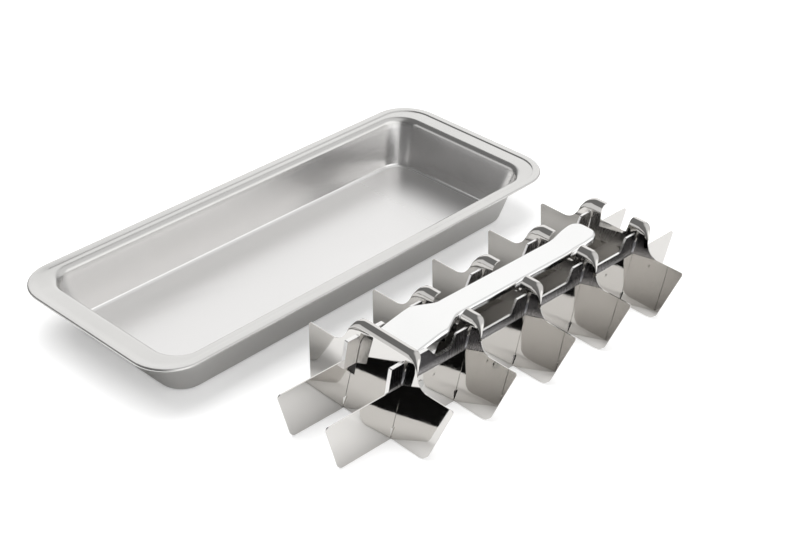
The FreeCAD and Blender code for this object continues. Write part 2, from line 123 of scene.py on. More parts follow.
# The camera of the photograph: its place in millimetres, its right and up directions, and its lens
CAMERA_PLACE = (-478.54, -525.25, 455.32)
CAMERA_RIGHT = (0.7056, -0.7075, 0.03966)
CAMERA_UP = (0.35777, 0.404, 0.8419)
CAMERA_LENS = 72.03
SENSOR_WIDTH = 36.0

# Size in millimetres of the cloudy patches of any rolled sheet
CLOUDS = (26.0, 26.0, 26.0)

# Places along the grid, in millimetres, where a twisted sheet's lean begins and ends to change
TWIST_FROM = -45.0
TWIST_TO = 50.0

# Place of the overhead lamp in metres, and level of the dark room round the table
LAMP_PLACE = (-0.15, 0.35, 1.7)
ROOM_LEVEL = 0.006

# Distances in metres from the middle of the pan between which the table grows to full white
WHITE_FROM = 0.35
WHITE_TO = 0.9

# Soft screens round the table: direction, cosines of the angle where each begins and is full, and level
SCREENS = (
    ((0.68, 0.66, 0.32), 0.84, 0.92, 1.1),      # white backdrop behind the table
    ((0.17, -0.95, 0.26), 0.60, 0.88, 1.3),     # white screen at the right
    ((0.45, -0.65, 0.61), 0.30, 0.75, 0.8),     # its upper part, leaning over the table
    ((-0.72, 0.69, 0.08), 0.86, 0.95, 0.8),     # low paper at the left
    ((-0.38, -0.85, 0.36), 0.92, 0.97, 1.0),    # narrow strip at the right, near the camera
    ((0.62, 0.20, 0.76), 0.95, 0.98, 0.7),      # small reflector high above the backdrop
    ((0.15, 0.17, 0.97), 0.30, 0.62, 0.20),     # grey ceiling
    ((0.0, 0.0, 1.0), 0.02, 0.12, 0.17),        # dim walls below the ceiling
)


def linear(hex_colour):
    """sRGB hex value to linear RGB with alpha 1."""
    parts = [int(hex_colour[i:i + 2], 16) / 255.0 for i in (1, 3, 5)]
    return [c / 12.92 if c <= 0.04045 else ((c + 0.055) / 1.055) ** 2.4 for c in parts] + [1.0]


def length(name, default, description):
    """A length in metres, shown in the scene's own unit; default is in millimetres."""
    return FloatProperty(name=name, description=description, default=default * MM,
                         unit="LENGTH", subtype="DISTANCE")


def angle(name, default, description):
    """An angle in radians, shown in degrees; default is in degrees."""
    return FloatProperty(name=name, description=description, default=math.radians(default),
                         unit="ROTATION", subtype="ANGLE")


def level(name, default, description, unit="NONE"):
    """A strength of light."""
    return FloatProperty(name=name, description=description, default=default, min=0.0, unit=unit)


def colour(name, default, description):
    """A linear colour; default is its sRGB hex value."""
    return FloatVectorProperty(name=name, description=description, default=linear(default),
                               size=4, min=0.0, max=1.0, subtype="COLOR")


class IcetrayPan(bpy.types.PropertyGroup):
    """Sizes of the drawn pan"""
    long: length("Length", 282.0, "Over the rim, along the tray")
    wide: length("Width", 113.8, "Over the rim, across the tray")
    high: length("Height", 28.0, "Table to the top of the hem")
    sheet: length("Sheet", 0.7, "Thickness of the sheet")
    rim_end: length("End rim", 14.4, "Rim from its edge to the mouth at the ends")
    rim_side: length("Side rim", 9.1, "Rim from its edge to the mouth at the sides")
    rim_corner: length("Rim corner", 21.6, "Corner radius of the rim's edge")
    mouth_corner: length("Mouth corner", 13.5, "Corner radius of the mouth")
    floor_corner: length("Floor corner", 12.0, "Corner radius of the floor")
    draft_end: length("End draft", 7.7, "How far the end walls come in by the floor")
    draft_side: length("Side draft", 6.4, "How far the side walls come in by the floor")
    floor_bend: length("Floor bend", 2.4, "Inner radius between wall and floor")
    rim_bend: length("Rim bend", 3.6, "Radius between rim and wall, inside the pan")
    rim_under: length("Rim underside", 1.2, "Radius between rim and wall, outside the pan")
    hem: length("Hem", 4.4, "Width of the raised hem round the rim")
    hem_step: length("Hem step", 0.5, "Rise from the rim to the hem")
    hem_fall: length("Hem fall", 0.9, "Width of the hem's step")
    hem_fade_from: length("Hem fade start", -40.0, "Where the hem's step has died away")
    hem_fade_to: length("Hem fade end", 20.0, "Where the hem's step is crisp")
    hem_thick: length("Hem thickness", 1.5, "Thickness of the folded hem")
    turn: angle("Turn", 2.17, "How far the pan is turned from the grid")


class IcetrayDivider(bpy.types.PropertyGroup):
    """Sizes of the cross dividers; heights are measured along the leaning sheet"""
    first_x: length("First place", -66.326, "Line that the nearest divider rocks on, along the grid")
    middle_y: length("Middle line", -118.2, "Middle line of the grid")
    pitch: length("Pitch", 41.6, "Spacing of the dividers")
    pivot: length("Pivot height", 1.2, "Height of the line each divider rocks on")
    lean: angle("Lean", 12.9, "Lean of the dividers at rest")
    sheet: length("Sheet", 0.6, "Thickness of the sheet")
    foot_half: length("Foot half width", 37.6, "Half the width at the foot")
    foot_gap: length("Foot gap", 0.35, "Height of the foot")
    foot_bend: length("Foot radius", 4.5, "Outline radius at the ends of the foot")
    wing_half: length("Wing half width", 46.7, "Half the width at the wing tips")
    wing_top: length("Wing top", 30.1, "Height of the wings")
    tip_bend: length("Wing tip radius", 1.2, "Outline radius of the wing tips")
    hump_top: length("Hump top", 44.4, "Height of the hump")
    shoulder: length("Shoulder", 18.9, "Half the width of the hump at its top")
    shoulder_lean: angle("Shoulder lean", 24.2, "Slope of the hump's shoulders from upright")
    shoulder_bend: length("Shoulder radius", 6.0, "Outline radius of the shoulders")
    saddle_bend: length("Saddle radius", 8.0, "Outline radius between shoulder and wing")
    recess_half: length("Recess half width", 8.4, "Half the width of the recess for the lever")
    recess_floor: length("Recess floor", 36.7, "Height of the recess's floor")
    lip_bend: length("Lip bend", 3.2, "Radius of the lip that is rolled back from the hump")
    lip_flat: length("Lip flat", 0.4, "Flat end of the lip behind its bend")
    web: length("Web", 34.5, "Top of the slots")
    tooth_low: length("Tooth foot", 1.0, "Low end of the tooth in each plate's slot")
    tooth_high: length("Tooth top", 5.5, "High end of the tooth in each plate's slot")
    plate_near: length("Slot inside", 15.08, "Inner edge of the plate's slot")
    plate_far: length("Slot outside", 15.98, "Outer edge of the plate's slot")
    slider_near: length("Slider slot", 13.73, "Inner edge of the slider's slot")
    slider_step: length("Slider step", 23.5, "Low end of the slider's slot")
    first_near: length("Nearest slider slot", 12.83, "Inner edge of that slot in the nearest divider")
    first_step: length("Nearest slider step", 18.6, "Low end of that slot in the nearest divider")


class IcetrayColours(bpy.types.PropertyGroup):
    """Colours of the finishes"""
    pan: colour("Pan", "#d8d7d5", "Satin drawn steel of the pan")
    # painted light: the upward faces inside the pan are painted brighter than the outside
    pan_inside_lit: colour("Pan inside", "#ecebea", "Brighter steel inside the pan, burnished by the punch")
    lever: colour("Lever", "#f1f1f0", "Bright pressed steel of the lever")
    mirror: colour("Mirror sheet", "#dad8d5", "Mirror sheet of plates and dividers")
    slider: colour("Sliders", "#f0efee", "Brushed strip of the sliders")
    # painted reflection: the right slider's upright faces are painted dark, and lighter lower down
    slider_painted_reflection: colour("Slider cheeks", "#4c4b4e", "Dark upright faces of the right slider")
    slider_low_painted_reflection: colour("Slider rubbed", "#a3a2a4", "The same faces lower down, where they are rubbed")
    rivet: colour("Rivets", "#c8c8c6", "Turned rivets and studs")


class IcetrayStudio(bpy.types.PropertyGroup):
    """Table, lamp and backdrop"""
    paper: colour("Paper", "#efefef", "Paper that the tray stands on")
    paper_glow: level("Paper lift", 0.28, "How much the paper near the tray is lifted towards white")
    table_edge: length("Table edge", -300.0, "Where the table ends towards the camera, as x plus y")
    table_reach: length("Table reach", 3000.0, "How far the table reaches behind and beside")
    lamp_long: length("Lamp length", 2000.0, "Size of the overhead lamp along the tray")
    lamp_wide: length("Lamp width", 1600.0, "Size of the overhead lamp across the tray")
    lamp_power: level("Lamp power", 32.0, "Power of the overhead lamp", "POWER")
    backdrop: level("Backdrop", 1.1, "Level of the backdrop where the camera sees it")


class IcetraySettings(bpy.types.PropertyGroup):
    """All sizes and colours of the tray"""
    pan: PointerProperty(type=IcetrayPan)
    divider: PointerProperty(type=IcetrayDivider)
    colours: PointerProperty(type=IcetrayColours)
    studio: PointerProperty(type=IcetrayStudio)


def smooth(share):
    """0 to 1 with level ends: 3 s squared less 2 s cubed, where s is share held between 0 and 1."""
    share = np.clip(share, 0.0, 1.0)
    return share * share * (3.0 - 2.0 * share)


def between(start, stop, count):
    """Evenly spaced values or points between start and stop, without the two."""
    return np.linspace(start, stop, count + 2)[1:-1]


def arc(centre, radius, start, stop, steps):
    """Points on a circle, turning from angle start to angle stop."""
    turn = np.linspace(start, stop, steps)
    return np.stack([centre[0] + radius * np.cos(turn), centre[1] + radius * np.sin(turn)], axis=1)


def rounded_path(corners, steps):
    """Open path (u, v) through corners (u, v, radius), each corner an arc tangent to both sides."""
    spots = np.array([c[:2] for c in corners])
    path = [spots[:1]]
    for before, here, after, corner in zip(spots, spots[1:], spots[2:], corners[1:]):
        radius = corner[2]
        back, on = before - here, after - here
        back, on = back / np.hypot(*back), on / np.hypot(*on)
        half = math.acos(float(np.clip(back @ on, -1, 1))) / 2.0
        run = radius / math.tan(half)
        middle = here + (back + on) / np.hypot(*(back + on)) * radius / math.sin(half)
        first, last = here + back * run - middle, here + on * run - middle
        start, stop = math.atan2(first[1], first[0]), math.atan2(last[1], last[0])
        sweep = (stop - start + math.pi) % (2 * math.pi) - math.pi
        path.append(arc(middle, radius, start, start + sweep, steps))
    path.append(spots[-1:])
    return np.vstack(path)


def along(path):
    """Distance along a path to each of its points."""
    return np.concatenate([[0.0], np.cumsum(np.hypot(*np.diff(path, axis=0).T))])


def grid_faces(rows, columns, closed=False, keep=None):
    """Quads of a grid of points; closed joins its last column to its first, keep leaves some out."""
    index = np.arange(rows * columns).reshape(rows, columns)
    if closed:
        index = np.hstack([index, index[:, :1]])
    quads = np.stack([index[:-1, :-1], index[:-1, 1:], index[1:, 1:], index[1:, :-1]], axis=-1)
    return quads.reshape(-1, 4) if keep is None else quads[keep]


def make_piece(name, points, faces, body, stands_for, crisp):
    """A mesh object from points in metres; equal points are joined, and edges past crisp look sharp."""
    mesh = bpy.data.meshes.new(name)
    mesh.from_pydata(points.reshape(-1, 3).tolist(), [], faces.tolist())
    work = bmesh.new()
    work.from_mesh(mesh)
    bmesh.ops.remove_doubles(work, verts=work.verts, dist=ONE_POINT)
    bmesh.ops.dissolve_degenerate(work, edges=work.edges, dist=NO_LENGTH)
    work.to_mesh(mesh)
    work.free()
    mesh.polygons.foreach_set("use_smooth", np.ones(len(mesh.polygons), dtype=bool))
    mesh.set_sharp_from_angle(angle=math.radians(crisp))
    piece = bpy.data.objects.new(name, mesh)
    bpy.context.scene.collection.objects.link(piece)
    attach(piece, body)
    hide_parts(*stands_for)
    return piece


def rounded_rings(half_x, half_y, radius, z):
    """Rings round rounded rectangles, one for each row of half_x, half_y, radius and z.

    Ring i is the corner centres (half_x - radius, half_y - radius) plus radius times
    (cos t, sin t), where t turns a quarter circle at each corner, and z is its height.
    """
    quarter = np.linspace(0.0, math.pi / 2.0, CORNER_STEPS)
    turn = np.concatenate([quarter + k * math.pi / 2.0 for k in range(4)])
    side_x = np.repeat([1.0, -1.0, -1.0, 1.0], CORNER_STEPS)
    side_y = np.repeat([1.0, 1.0, -1.0, -1.0], CORNER_STEPS)
    reach_x, reach_y, radius = half_x[:, None], half_y[:, None], radius[:, None]
    x = side_x * (reach_x - radius) + radius * np.cos(turn)
    y = side_y * (reach_y - radius) + radius * np.sin(turn)
    return np.stack([x, y, np.broadcast_to(z[:, None], x.shape)], axis=-1)


def wall_profile(size, rim, draft, outside):
    """Insets and heights down the inside or outside of a wall, from the rim to the floor or table.

    The wall's inset at height z is rim + draft (high - z) / high, less the sheet on the outside. One
    arc bends it into the rim and one into the floor, and the centre of an arc lies radius / cos(lean)
    beside the wall.
    """
    lean = math.atan2(draft, size.high)
    sheet = size.sheet if outside else 0.0
    rim_bend = size.rim_under if outside else size.rim_bend
    floor_bend = size.floor_bend + sheet
    over_height = size.high - size.hem_step - sheet - rim_bend
    foot_height = size.sheet - sheet + floor_bend

    def beside(height, distance):
        return rim + (size.high - height) * math.tan(lean) - sheet + distance / math.cos(lean), height
    over = arc(beside(over_height, -rim_bend), rim_bend, math.pi / 2.0, lean, BEND_STEPS)
    foot = arc(beside(foot_height, floor_bend), floor_bend, math.pi + lean, 1.5 * math.pi, BEND_STEPS)
    return np.vstack([over, between(over[-1], foot[0], WALL_ROWS), foot])


def hem_profile(size, mouth):
    """Insets and heights of the hem: half a circle round its edge, its flat, its step and the rim.

    The step falls by 3 s squared less 2 s cubed over the width hem_fall, and mouth is the inset
    where the rim ends.
    """
    half = size.hem_thick / 2.0
    roll = arc((half, size.high - half), half, -math.pi / 2.0, -1.5 * math.pi, ROLL_STEPS)
    ease = np.linspace(0.0, 1.0, STEP_ROWS)
    across = size.hem + (ease - 0.5) * size.hem_fall
    step = np.stack([across, size.high - size.hem_step * smooth(ease)], axis=1)
    flat = np.stack([between(half, across[0], FLAT_ROWS), np.full(FLAT_ROWS, size.high)], axis=1)
    low = np.full(RIM_ROWS, size.high - size.hem_step)
    rim = np.stack([between(across[-1], mouth, RIM_ROWS), low], axis=1)
    return np.vstack([roll, flat, step, rim])


def wall_corners(size, end, side):
    """Corner radius at each row of the walls: from mouth to floor corner, less the inset past the wall."""
    inset = (end[:, 0] - size.rim_end + side[:, 0] - size.rim_side) / 2.0
    down = np.clip((size.high - end[:, 1]) / size.high, 0.0, 1.0)
    wall = down * (size.draft_end + size.draft_side) / 2.0
    return size.mouth_corner + (size.floor_corner - size.mouth_corner) * down - (inset - wall)


def soften_hem(size, rings, hem, mouth):
    """Lets the hem's step, crisp towards +X, die away into one soft slope towards -X.

    The height is that of the slope, plus a share of what the crisp hem stands above it; the share
    grows from 0 to 1 along X.
    """
    rows = slice(ROLL_STEPS, len(hem))
    half = size.hem_thick / 2.0
    soft = size.high - size.hem_step * smooth((hem[rows, 0] - half) / (mouth - half))
    crisp = (rings[rows, :, 0] - size.hem_fade_from) / (size.hem_fade_to - size.hem_fade_from)
    rings[rows, :, 2] = soft[:, None] + (hem[rows, 1] - soft)[:, None] * np.clip(crisp, 0.0, 1.0)


def build_pan(size):
    """The pan: a profile of insets and heights carried round rounded rectangles.

    Row i of the profile has inset a_i at the ends, b_i at the sides, height z_i and corner
    radius r_i; its ring is |x| = long/2 - a_i and |y| = wide/2 - b_i with corners r_i. The profile
    runs over the hem, down the inside, through the floor's middle, up the outside and back.
    """
    end = wall_profile(size, size.rim_end, size.draft_end, outside=False)
    side = wall_profile(size, size.rim_side, size.draft_side, outside=False)
    end_outside = wall_profile(size, size.rim_end, size.draft_end, outside=True)
    side_outside = wall_profile(size, size.rim_side, size.draft_side, outside=True)
    mouth = side[0, 0]
    hem = hem_profile(size, mouth)
    rim_below = size.high - size.hem_step - size.sheet
    behind = np.array([[size.hem, rim_below], [size.hem, size.high - size.hem_thick]])

    # one closed section, whose middle is the floor's
    def closed(half, inside, outside):
        middle = [[half, size.sheet], [half, 0.0]]
        return np.vstack([hem, inside, middle, outside[::-1], behind, hem[:1]])
    rows_x = closed(size.long / 2.0, end, end_outside)
    rows_y = closed(size.wide / 2.0, side, side_outside)
    radius = np.concatenate([size.rim_corner - hem[:, 0], wall_corners(size, end, side), [0.0, 0.0],
                             wall_corners(size, end_outside, side_outside)[::-1],
                             size.rim_corner - behind[:, 0], size.rim_corner - hem[:1, 0]])
    half_x, half_y = size.long / 2.0 - rows_x[:, 0], size.wide / 2.0 - rows_y[:, 0]
    rings = rounded_rings(half_x, half_y, radius, rows_x[:, 1])
    soften_hem(size, rings, hem, mouth)
    turn = np.array(Matrix.Rotation(size.turn, 3, "Z"))
    faces = grid_faces(*rings.shape[:2], closed=True)
    return make_piece("pan_shell", rings @ turn.T, faces, "pan", ["pan"], PAN_CRISP)


def divider_outline(size):
    """Half outlines of a divider from its middle line: over hump and wing, and along the foot."""
    saddle = size.shoulder + (size.hump_top - size.wing_top) * math.tan(size.shoulder_lean)
    tip, foot = (size.wing_half, size.wing_top), (size.foot_half, size.foot_gap)
    over = [(0.0, size.hump_top, 0.0), (size.shoulder, size.hump_top, size.shoulder_bend),
            (saddle, size.wing_top, size.saddle_bend), (*tip, size.tip_bend), (*foot, 0.0)]
    under = [(0.0, size.foot_gap, 0.0), (*foot, size.foot_bend), (*tip, 0.0)]
    return rounded_path(over, OUTLINE_STEPS)[:-1], rounded_path(under, FOOT_STEPS)[:-1]


def outer_columns(size, over, under):
    """Head points of the columns outside the plate's slot, and the foot point below each.

    A long stretch of outline gets more columns. The feet share out the foot line as the heads share
    out the way across, with a part of their rise and fall added.
    """
    heads = over[over[:, 0] > size.plate_far + SLOT_GAP * MM]
    for i in np.flatnonzero(np.diff(along(heads)) > LONG_STRETCH * MM)[::-1]:
        heads = np.insert(heads, i + 1, between(heads[i], heads[i + 1], STRETCH_COLUMNS), axis=0)
    walk = np.cumsum(np.abs(np.diff(heads, axis=0)) @ [1.0, RISE_WEIGHT])
    walk = np.concatenate([[0.0], walk]) + SLOT_GAP * MM
    line = np.vstack([[size.plate_far, size.foot_gap], under[under[:, 0] > size.plate_far]])
    reach = along(line)
    spots = walk / walk[-1] * reach[-1]
    return heads, np.stack([np.interp(spots, reach, line[:, k]) for k in (0, 1)], axis=1)


def recess_columns(size):
    """Foot, knee and head points of the columns through the lever's recess, with its eased corner."""
    inset, rise = np.array(RECESS_COLUMNS).T * MM
    heights = (np.full_like(rise, size.foot_gap), np.full_like(rise, size.web), size.recess_floor + rise)
    return [np.stack([size.recess_half - inset, height], axis=1) for height in heights]


def divider_columns(size, near, slider):
    """Foot, knee and head points, outline normals and lip radii of the columns of half a divider.

    A head lies the lip's radius R inside the outline, along its normal. R is whole on the hump and
    fades to 0 down the shoulder. A knee is where the column passes the top of the slots.
    """
    over, under = divider_outline(size)
    plain = [column * MM for column in PLAIN_COLUMNS] if near else []
    inner = np.array([*plain, size.recess_half + LIP_GAP * MM, EXTRA_COLUMN * MM, slider,
                      size.plate_near, size.plate_far])
    count = len(inner)
    outer, outer_feet = outer_columns(size, over, under)
    feet = np.vstack([np.stack([inner, np.full(count, size.foot_gap)], axis=1), outer_feet])
    outline = np.vstack([np.stack([inner, np.interp(inner, *over.T)], axis=1), outer])
    # the outline turns by this angle round the shoulder, whose bend starts so far from the middle line
    turned = math.pi / 2.0 - size.shoulder_lean
    bend_start = size.shoulder - size.shoulder_bend * math.tan(turned / 2.0)
    tangent = np.gradient(outline, axis=0)
    fall = np.clip((inner - bend_start) / size.shoulder_bend, 0.0, 1.0)
    tangent[:count] = np.stack([np.ones(count), -fall], axis=1)
    tangent /= np.hypot(*tangent.T)[:, None]
    normal = np.stack([-tangent[:, 1], tangent[:, 0]], axis=1)
    fade_from = bend_start + FADE_FROM * size.shoulder_bend * turned
    fade_to = bend_start + size.shoulder_bend * turned + FADE_PAST * MM
    travelled = along(outline) + outline[0, 0]
    roll = size.lip_bend * (1.0 - smooth((travelled - fade_from) / (fade_to - fade_from)))
    heads = outline - normal * roll[:, None]
    share = (size.web - size.foot_gap) / (size.hump_top - size.lip_bend - size.foot_gap)
    knees = feet + (heads - feet) * share
    knees[:count, 0] = inner
    knees[:count, 1] = size.web
    if near:
        return feet, knees, heads, normal, roll
    feet, knees, heads = map(np.vstack, zip(recess_columns(size), (feet, knees, heads)))
    normal = np.vstack([np.tile([0.0, 1.0], (len(RECESS_COLUMNS), 1)), normal])
    return feet, knees, heads, normal, np.concatenate([np.zeros(len(RECESS_COLUMNS)), roll])


def rolled_lip(size, heads, normal, roll):
    """Rows of the lip, and how far back each lies.

    At t from 0 to 90 degrees a row is head + R sin(t) n, set back by R (1 - cos t), and the last
    row is the lip's flat end; n is the outline's normal and R the lip's radius at each column.
    """
    turn = np.linspace(0.0, math.pi / 2.0, LIP_STEPS + 1)[1:, None]
    lip = heads + (np.sin(turn) * roll)[..., None] * normal
    back = (1.0 - np.cos(turn)) * roll
    flat = back[-1:] + size.lip_flat * roll / size.lip_bend
    return np.concatenate([lip, lip[-1:]]), np.concatenate([back, flat])


def build_divider(size, index):
    """A cross divider: columns of points from foot to head, with a lip rolled back above them.

    The points of both halves make one grid on the sheet's far face, so that each lies half a sheet
    or more behind its middle plane, which is its depth. The slots are quads left out, with a tooth
    kept in each plate's slot. The whole leans about its pivot: x = depth cos(lean) + rise sin(lean)
    and z = rise cos(lean) - depth sin(lean).
    """
    near = index == 0
    slider = size.first_near if near else size.slider_near
    step = size.first_step if near else size.slider_step
    feet, knees, heads, normal, roll = divider_columns(size, near, slider)
    levels = np.sort([size.foot_gap, size.tooth_low, size.tooth_high, size.first_step, size.slider_step,
                      size.web, *(np.array(ROWS_BETWEEN) * MM)])
    share = (levels - levels[0]) / (levels[-1] - levels[0])
    lower = feet + (knees - feet) * share[:, None, None]
    upper = knees + (heads - knees) * np.linspace(0.0, 1.0, ROWS_ABOVE + 1)[1:, None, None]
    lip, back = rolled_lip(size, heads, normal, roll)
    sheet = np.concatenate([lower, upper, lip])
    first_lip = len(lower) + len(upper)
    depth = np.vstack([np.zeros((first_lip, len(roll))), back]) + size.sheet / 2.0

    across, height = np.moveaxis((sheet[:-1, :-1] + sheet[1:, 1:]) / 2.0, -1, 0)
    row = np.arange(len(across))[:, None]
    in_plate = (across > size.plate_near) & (across < size.plate_far)
    off_tooth = (height < size.tooth_low) | (height > size.tooth_high)
    in_slider = (across > slider) & (across < size.plate_far) & (height > step)
    in_slot = (row < len(levels) - 1) & (in_plate & off_tooth | in_slider)
    rolled = np.maximum(roll[:-1], roll[1:]) > NO_ROLL
    if not near:
        rolled[len(RECESS_COLUMNS) - 1] = False      # the lip begins outside the recess
    keep = ~in_slot & ((row < first_lip - 1) | rolled)

    sheet = np.concatenate([sheet[:, :0:-1] * [-1.0, 1.0], sheet], axis=1)
    depth = np.concatenate([depth[:, :0:-1], depth], axis=1)
    keep = np.concatenate([keep[:, ::-1], keep], axis=1)
    cos, sin = math.cos(size.lean), math.sin(size.lean)
    rise = sheet[..., 1] - size.pivot
    x = size.first_x + size.pitch * index + depth * cos + rise * sin
    z = size.pivot - depth * sin + rise * cos
    points = np.stack([x, sheet[..., 0] + size.middle_y, z], axis=-1)
    faces = grid_faces(*points.shape[:2], keep=keep)
    number = index + 1
    piece = make_piece("divider_sheet_%d" % number, points, faces, "divider_%d" % number,
                       ["cross_divider_%d" % number], DIVIDER_CRISP)
    give_thickness(piece, size.sheet)
    return piece


def give_thickness(piece, sheet):
    """Gives a surface the sheet's thickness, on the side its faces look away from, and eases its edges."""
    thick = piece.modifiers.new("sheet", "SOLIDIFY")
    thick.thickness = sheet
    thick.offset = -1.0
    thick.use_even_offset = False
    edges = piece.modifiers.new("edges", "BEVEL")
    edges.width = EASED_EDGE * MM
    edges.segments = 2
    edges.limit_method = "ANGLE"
    edges.angle_limit = math.radians(EASED_FROM)
    edges.harden_normals = True


def add_node(tree, kind, inputs=(), **settings):
    """Adds a node; settings are its properties, and inputs give sockets a link or a value."""
    node = tree.nodes.new(kind)
    for name, value in settings.items():
        setattr(node, name, value)
    for name, value in dict(inputs).items():
        if isinstance(value, bpy.types.NodeSocket):
            tree.links.new(value, node.inputs[name])
        else:
            node.inputs[name].default_value = value
    return node


# What masks and normals read at a point: its place in the object's frame and its face's normal
Spot = namedtuple("Spot", "place x z normal normal_y normal_z")


def surface_spot(tree):
    """Sockets of a Spot."""
    place = add_node(tree, "ShaderNodeTexCoord").outputs["Object"]
    normal = add_node(tree, "ShaderNodeNewGeometry").outputs["Normal"]
    at = add_node(tree, "ShaderNodeSeparateXYZ", {0: place}).outputs
    facing = add_node(tree, "ShaderNodeSeparateXYZ", {0: normal}).outputs
    return Spot(place, at["X"], at["Z"], normal, facing["Y"], facing["Z"])


def lifted_normal(tree, spot, lift):
    """Shading normal turned upwards: the face's normal plus (0, 0, lift), made a unit long."""
    up = add_node(tree, "ShaderNodeCombineXYZ", {"Z": lift}).outputs[0]
    total = add_node(tree, "ShaderNodeVectorMath", {0: spot.normal, 1: up}, operation="ADD").outputs[0]
    return add_node(tree, "ShaderNodeVectorMath", {0: total}, operation="NORMALIZE").outputs[0]


def leaned_sheet(towards_x, towards_y, left_over):
    """Normal of a sheet that isn't quite flat: faces towards -X and -Y look up by the two slopes.

    Along the grid the slopes change to left_over of themselves, as in a sheet with a slight twist.
    """
    def normal(tree, spot):
        facing = add_node(tree, "ShaderNodeVectorMath", {0: spot.normal, 1: (-towards_x, -towards_y, 0.0)},
                          operation="DOT_PRODUCT").outputs["Value"]
        left = add_node(tree, "ShaderNodeMapRange", {"Value": spot.x, "From Min": TWIST_FROM * MM,
                                                     "From Max": TWIST_TO * MM, "To Min": 1.0,
                                                     "To Max": left_over}).outputs[0]
        lift = add_node(tree, "ShaderNodeMath", {0: facing, 1: left}, operation="MULTIPLY").outputs[0]
        return lifted_normal(tree, spot, lift)
    return normal


def flattened_face(tree, spot):
    """Normal that turns straight up where a face is almost level."""
    lift = add_node(tree, "ShaderNodeMapRange", {"Value": spot.normal_z, "From Min": 0.90,
                                                 "From Max": 0.97, "To Max": 4.0}).outputs[0]
    return lifted_normal(tree, spot, lift)


def painted_light_inside(tree, spot):
    """1 on faces that look up and lie below the rim, else 0: where the pan gets its painted light."""
    up = add_node(tree, "ShaderNodeMapRange", {"Value": spot.normal_z, "From Min": 0.05, "From Max": 0.2})
    low = add_node(tree, "ShaderNodeMapRange", {"Value": spot.z, "From Min": 25.0 * MM,
                                                "From Max": 23.0 * MM})
    both = {0: up.outputs[0], 1: low.outputs[0]}
    return add_node(tree, "ShaderNodeMath", both, operation="MULTIPLY").outputs[0]


def floor_gloss(tree, spot):
    """Roughness of the level floor inside the pan, which grows towards the far end; 0 elsewhere."""
    flat = add_node(tree, "ShaderNodeMapRange", {"Value": spot.normal_z, "From Min": 0.8, "From Max": 0.98})
    low = add_node(tree, "ShaderNodeMapRange", {"Value": spot.z, "From Min": 6.0 * MM, "From Max": 2.0 * MM})
    both = {0: flat.outputs[0], 1: low.outputs[0]}
    on_floor = add_node(tree, "ShaderNodeMath", both, operation="MULTIPLY").outputs[0]
    rough = add_node(tree, "ShaderNodeMapRange", {"Value": spot.x, "From Min": 80.0 * MM,
                                                  "From Max": 130.0 * MM, "To Min": 0.27, "To Max": 0.50},
                     interpolation_type="SMOOTHSTEP").outputs[0]
    return add_node(tree, "ShaderNodeMath", {0: on_floor, 1: rough}, operation="MULTIPLY").outputs[0]


def cheeks(tree, spot):
    """1 on faces towards -Y and +Y, else 0."""
    across = add_node(tree, "ShaderNodeMath", {0: spot.normal_y}, operation="ABSOLUTE").outputs[0]
    upright = add_node(tree, "ShaderNodeMapRange", {"Value": across, "From Min": 0.7, "From Max": 0.95})
    return upright.outputs[0]


def low_cheeks(tree, spot):
    """As cheeks, and fading in from the top of the long plates downwards."""
    low = add_node(tree, "ShaderNodeMapRange", {"Value": spot.z, "From Min": 31.0 * MM,
                                                "From Max": 27.5 * MM})
    both = {0: cheeks(tree, spot), 1: low.outputs[0]}
    return add_node(tree, "ShaderNodeMath", both, operation="MULTIPLY").outputs[0]


def pattern(tree, place, sizes, detail):
    """Noise whose features measure sizes (x, y, z) in millimetres."""
    scale = [1.0 / (size * MM) for size in sizes]
    spread = add_node(tree, "ShaderNodeMapping", {"Vector": place, "Scale": scale}).outputs[0]
    noise = {"Vector": spread, "Scale": 1.0, "Detail": detail}
    return add_node(tree, "ShaderNodeTexNoise", noise).outputs["Fac"]


def steel(name, hue, gloss, lay, lay_depth, wave, wave_depth, normal=None, tints=(), matt=None):
    """Bare steel from real sizes in millimetres.

    gloss is its least and greatest roughness; lay is the size of its fine lines along x, y and z and
    wave the size of its buckles, each with a depth; normal is a function that gives its shading
    normal; tints are masks with the colours they show, and matt gives a greater roughness.
    """
    material = bpy.data.materials.new(name)
    material.use_nodes = True
    tree = material.node_tree
    tree.nodes.clear()
    spot = surface_spot(tree)
    lines = pattern(tree, spot.place, lay, 3.0)
    clouds = pattern(tree, spot.place, CLOUDS, 2.0)
    both = add_node(tree, "ShaderNodeMath", {0: lines, 1: clouds}, operation="ADD").outputs[0]
    rough = add_node(tree, "ShaderNodeMapRange", {"Value": both, "From Min": 0.75, "From Max": 1.25,
                                                  "To Min": gloss[0], "To Max": gloss[1]}).outputs[0]
    if matt:
        larger = {0: rough, 1: matt(tree, spot)}
        rough = add_node(tree, "ShaderNodeMath", larger, operation="MAXIMUM").outputs[0]
    waves = pattern(tree, spot.place, [wave] * 3, 1.0)
    under = {"Normal": normal(tree, spot)} if normal else {}
    buckled = add_node(tree, "ShaderNodeBump", {"Height": waves, "Strength": 1.0,
                                                "Distance": wave_depth * MM, **under}).outputs[0]
    lined = add_node(tree, "ShaderNodeBump", {"Height": lines, "Strength": 1.0,
                                              "Distance": lay_depth * MM, "Normal": buckled}).outputs[0]
    base = hue
    for mask, tint in tints:
        shades = {0: mask(tree, spot), 6: base, 7: tint}
        base = add_node(tree, "ShaderNodeMix", shades, data_type="RGBA").outputs[2]
    shader = add_node(tree, "ShaderNodeBsdfPrincipled", {"Base Color": base, "Metallic": 1.0,
                                                         "Roughness": rough, "Normal": lined})
    add_node(tree, "ShaderNodeOutputMaterial", {"Surface": shader.outputs[0]})
    return material


def finish(start, material):
    """Gives a material to every shown piece whose name begins with start."""
    for piece in bpy.context.scene.objects:
        if piece.type == "MESH" and not piece.hide_render and piece.name.startswith(start):
            piece.data.materials.clear()
            piece.data.materials.append(material)


